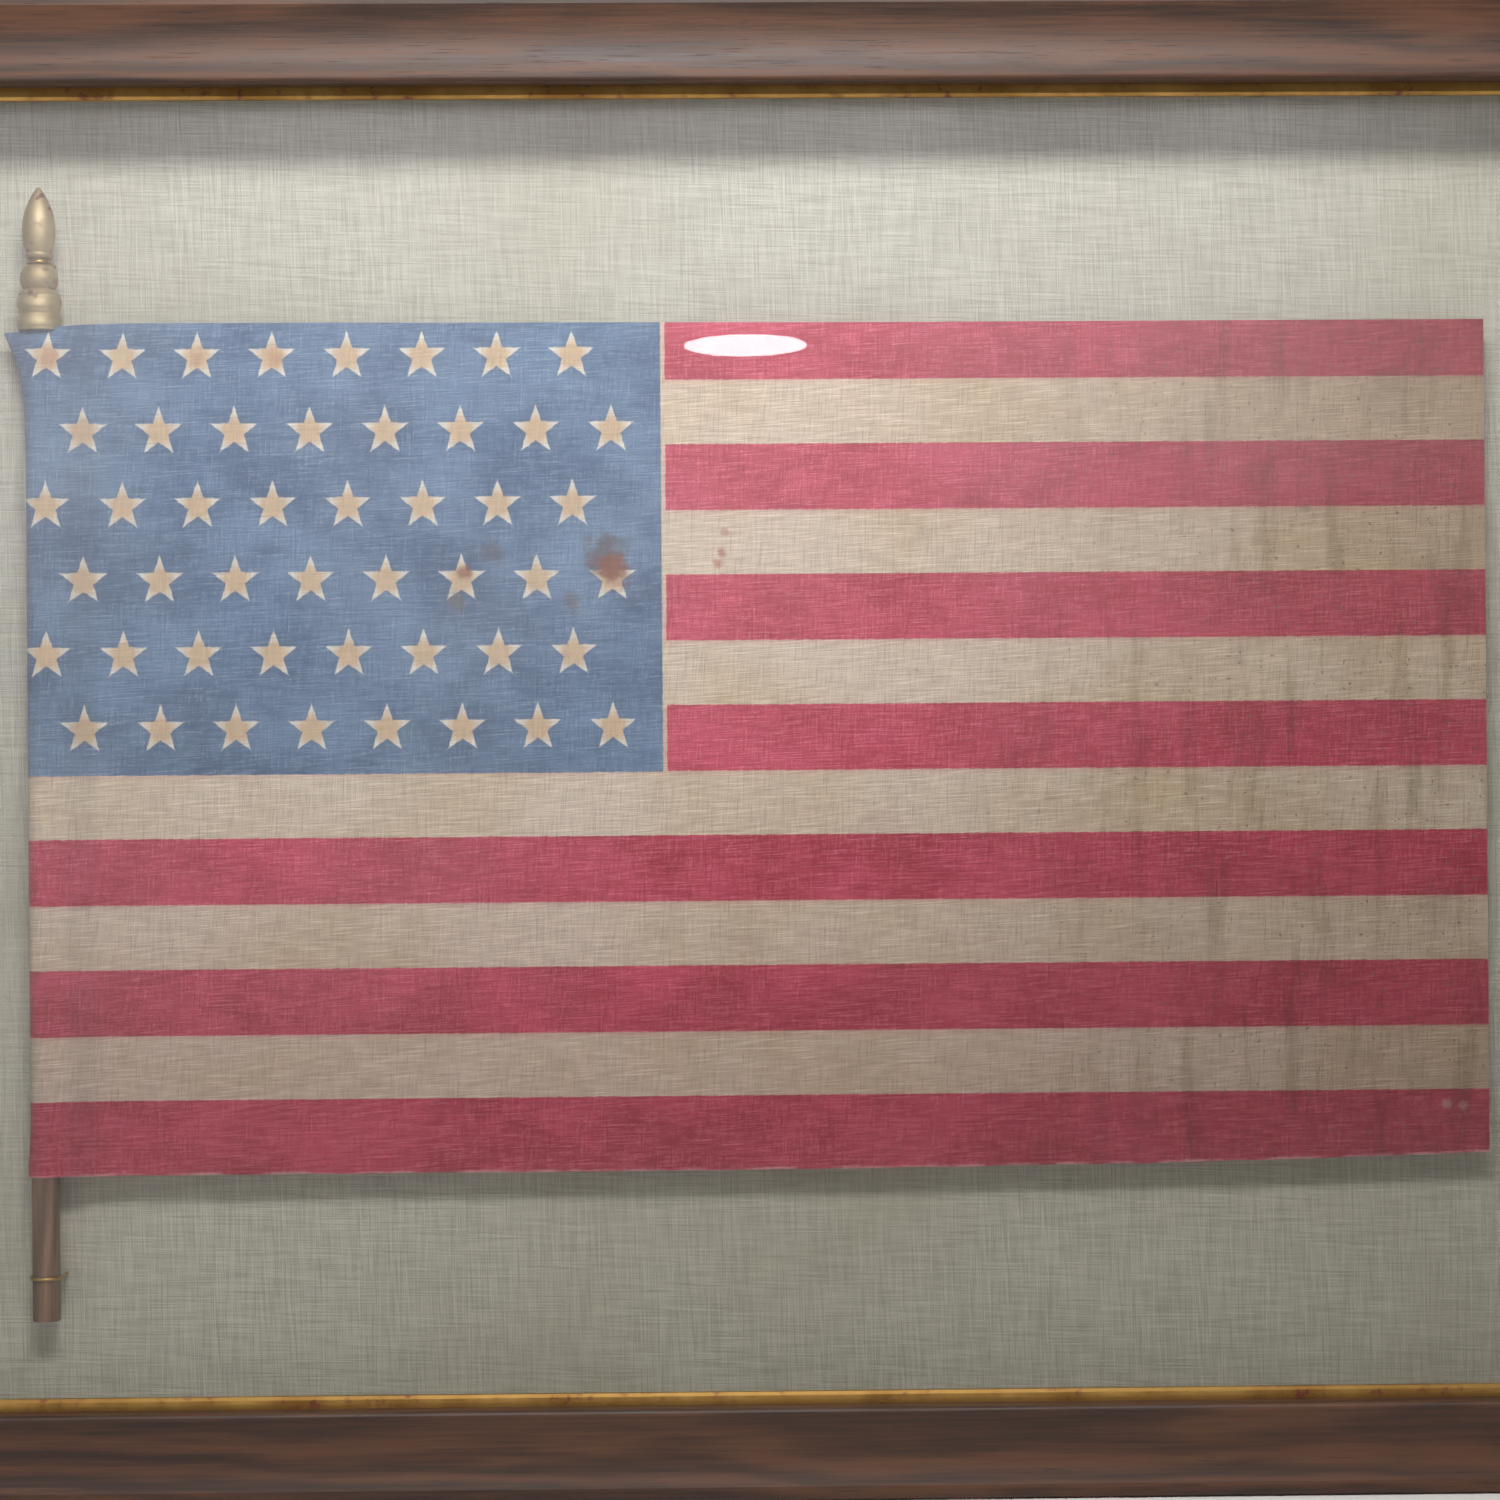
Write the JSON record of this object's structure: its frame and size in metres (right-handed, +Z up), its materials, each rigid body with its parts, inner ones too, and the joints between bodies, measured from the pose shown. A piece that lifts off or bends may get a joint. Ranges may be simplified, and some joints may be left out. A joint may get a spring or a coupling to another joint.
{
  "type": "framed flag display",
  "caption": "Glazed wooden shadow-box frame with an unfolded printed parade flag on its staff, turn-button back and hanging rings.",
  "frame": {"origin": "centre of the bounding box at the underside of the bottom rail", "axes": "+X along the frame's width, staff at -X; front glass faces -Y; +Z up"},
  "size_m": [0.663, 0.0512, 0.518],
  "materials": {
    "walnut": "waxed walnut, satin",
    "spline_wood": "paler splines, waxed",
    "gilt_slip": "gilded, rubbed",
    "glass": "clear polished",
    "spacer_card": "matte, linen coloured",
    "linen": "plain-woven grey-green linen",
    "board": "matte acid-free board",
    "flag_cotton": "printed, faded, stained thin cotton",
    "staff_wood": "aged, dull varnish",
    "gilt_finial": "gilded turning, worn",
    "brass_wire": "drawn wire",
    "backer": "hardboard, smooth side out",
    "button_brass": "stamped, satin",
    "hardware_steel": "zinc plated",
    "bumper_rubber": "matte black"
  },
  "bodies": {
    "frame_and_contents": {"top_rail": "walnut", "bottom_rail": "walnut", "left_rail": "walnut", "right_rail": "walnut", "corner_keys": "spline_wood", "top_slip": "gilt_slip", "bottom_slip": "gilt_slip", "left_slip": "gilt_slip", "right_slip": "gilt_slip", "glass_pane": "glass", "top_spacer": "spacer_card", "bottom_spacer": "spacer_card", "left_spacer": "spacer_card", "right_spacer": "spacer_card", "backing_linen": "linen", "mount_board": "board", "float_panel": "board", "flag": "flag_cotton", "staff": "staff_wood", "finial": "gilt_finial", "upper_clip": "brass_wire", "lower_clip": "brass_wire", "backer_board": "backer", "turn_button_screws": "hardware_steel", "hanger_plate_left": "hardware_steel", "hanger_plate_right": "hardware_steel", "hanger_screws": "hardware_steel", "wall_bumpers": "bumper_rubber"},
    "turn_button_1": {"turn_button_1": "button_brass"},
    "turn_button_2": {"turn_button_2": "button_brass"},
    "turn_button_3": {"turn_button_3": "button_brass"},
    "turn_button_4": {"turn_button_4": "button_brass"},
    "turn_button_5": {"turn_button_5": "button_brass"},
    "turn_button_6": {"turn_button_6": "button_brass"},
    "turn_button_7": {"turn_button_7": "button_brass"},
    "turn_button_8": {"turn_button_8": "button_brass"},
    "d_ring_left": {"d_ring_left": "hardware_steel"},
    "d_ring_right": {"d_ring_right": "hardware_steel"}
  },
  "joints": [
    {"name": "turn_button_1_swivel", "type": "hinge", "parent": "frame_and_contents", "child": "turn_button_1", "pos_m": [-0.18564, 0.02065, 0.017], "axis": [0, 1, 0], "continuous": true},
    {"name": "turn_button_2_swivel", "type": "hinge", "parent": "frame_and_contents", "child": "turn_button_2", "pos_m": [0.18564, 0.02065, 0.017], "axis": [0, 1, 0], "continuous": true},
    {"name": "turn_button_3_swivel", "type": "hinge", "parent": "frame_and_contents", "child": "turn_button_3", "pos_m": [-0.18564, 0.02065, 0.501], "axis": [0, 1, 0], "continuous": true},
    {"name": "turn_button_4_swivel", "type": "hinge", "parent": "frame_and_contents", "child": "turn_button_4", "pos_m": [0.18564, 0.02065, 0.501], "axis": [0, 1, 0], "continuous": true},
    {"name": "turn_button_5_swivel", "type": "hinge", "parent": "frame_and_contents", "child": "turn_button_5", "pos_m": [-0.3145, 0.02065, 0.08806], "axis": [0, 1, 0], "continuous": true},
    {"name": "turn_button_6_swivel", "type": "hinge", "parent": "frame_and_contents", "child": "turn_button_6", "pos_m": [-0.3145, 0.02065, 0.42994], "axis": [0, 1, 0], "continuous": true},
    {"name": "turn_button_7_swivel", "type": "hinge", "parent": "frame_and_contents", "child": "turn_button_7", "pos_m": [0.3145, 0.02065, 0.08806], "axis": [0, 1, 0], "continuous": true},
    {"name": "turn_button_8_swivel", "type": "hinge", "parent": "frame_and_contents", "child": "turn_button_8", "pos_m": [0.3145, 0.02065, 0.42994], "axis": [0, 1, 0], "continuous": true},
    {"name": "d_ring_left_swing", "type": "hinge", "parent": "frame_and_contents", "child": "d_ring_left", "pos_m": [-0.319, 0.02238, 0.37296], "axis": [1, 0, 0], "range_deg": [0, 180]},
    {"name": "d_ring_right_swing", "type": "hinge", "parent": "frame_and_contents", "child": "d_ring_right", "pos_m": [0.319, 0.02238, 0.37296], "axis": [1, 0, 0], "range_deg": [0, 180]}
  ]
}
